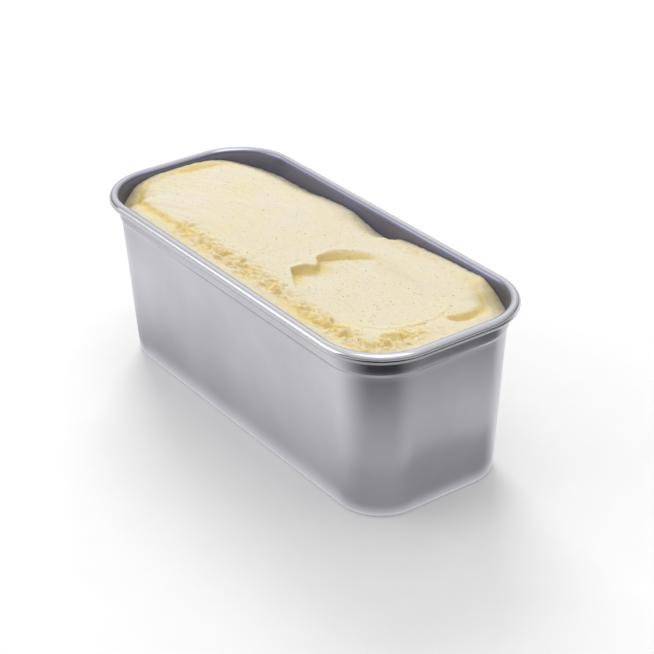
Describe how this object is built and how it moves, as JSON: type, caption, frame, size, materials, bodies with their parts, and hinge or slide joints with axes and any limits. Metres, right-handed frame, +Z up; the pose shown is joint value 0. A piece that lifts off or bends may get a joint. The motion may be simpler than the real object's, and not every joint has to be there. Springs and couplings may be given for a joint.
{
  "type": "filled gelato display pan",
  "caption": "Rectangular stainless-steel gelato pan with rolled rim, stacking shoulder and tapered walls, filled with smoothed vanilla ice cream.",
  "frame": {"origin": "middle of the flat base's underside", "axes": "+X along the length of the pan, +Y across it, +Z up out of the open top"},
  "size_m": [0.36, 0.157, 0.136],
  "materials": {
    "steel": "satin drawn sheet steel, brighter on the rolled rim",
    "ice_cream": "soft matt frozen cream, spread with a spatula",
    "vanilla_seed": "matt dark grains"
  },
  "bodies": {
    "root": {"pan": "steel", "ice_cream": "ice_cream"}
  },
  "joints": []
}
